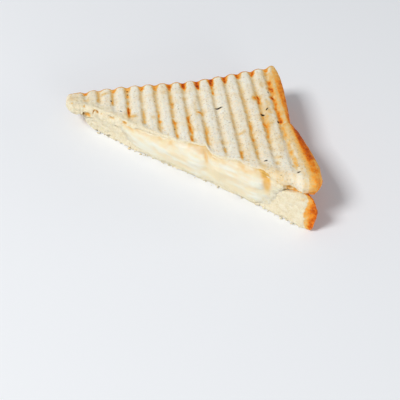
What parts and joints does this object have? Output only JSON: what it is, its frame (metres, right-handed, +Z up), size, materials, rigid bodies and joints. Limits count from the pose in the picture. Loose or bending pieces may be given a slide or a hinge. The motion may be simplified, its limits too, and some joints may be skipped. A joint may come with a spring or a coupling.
{
  "type": "cheese toastie",
  "caption": "Triangular half of a pressed cheese toastie, lying flat: ridged toasted white bread above and below melted cheese that has run out over the cut face.",
  "frame": {"origin": "middle of the bounding box's base, on the surface the toastie rests on", "axes": "+X along the long back crust towards the loaf's side crust, +Y from the cut towards the back crust, +Z up through the slices"},
  "size_m": [0.1314, 0.1074, 0.0269],
  "materials": {
    "toasted_top": "white bread toasted in a ridged press: pale ridges, golden brown grooves, orange brown crust",
    "melted_cheese": "melted pale cheese, smooth and slightly glossy",
    "toasted_bottom": "white bread toasted in a ridged press: pale crumb at the cut, orange brown crust"
  },
  "bodies": {
    "root": {"top_slice": "toasted_top", "cheese": "melted_cheese", "bottom_slice": "toasted_bottom"}
  },
  "joints": []
}
